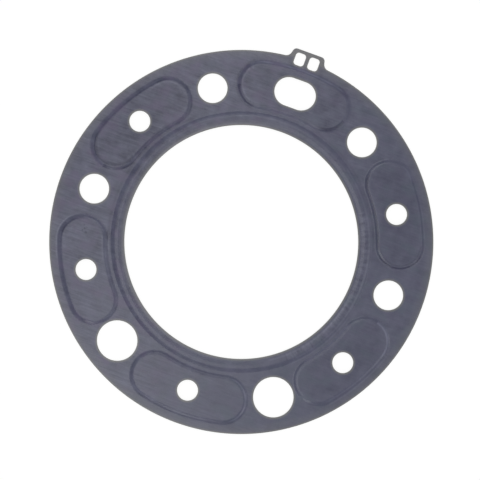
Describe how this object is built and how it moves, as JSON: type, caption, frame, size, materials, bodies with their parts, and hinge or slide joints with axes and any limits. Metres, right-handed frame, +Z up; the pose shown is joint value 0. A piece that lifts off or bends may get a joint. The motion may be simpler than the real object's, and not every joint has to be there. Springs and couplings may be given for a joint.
{
  "type": "cylinder head gasket",
  "caption": "Round flat engine gasket of embossed sheet steel with a large bore, stud and coolant holes, raised bead fields and a small edge tab.",
  "frame": {"origin": "centre of the cylinder bore, on the plane of the sheet's underside", "axes": "+Z up, normal to the sheet and along the bore; +Y towards the tab"},
  "size_m": [0.11, 0.1126, 0.0008],
  "materials": {
    "coated_sheet": "satin dark slate rubber coat on steel"
  },
  "bodies": {
    "root": {"gasket_sheet": "coated_sheet"}
  },
  "joints": []
}
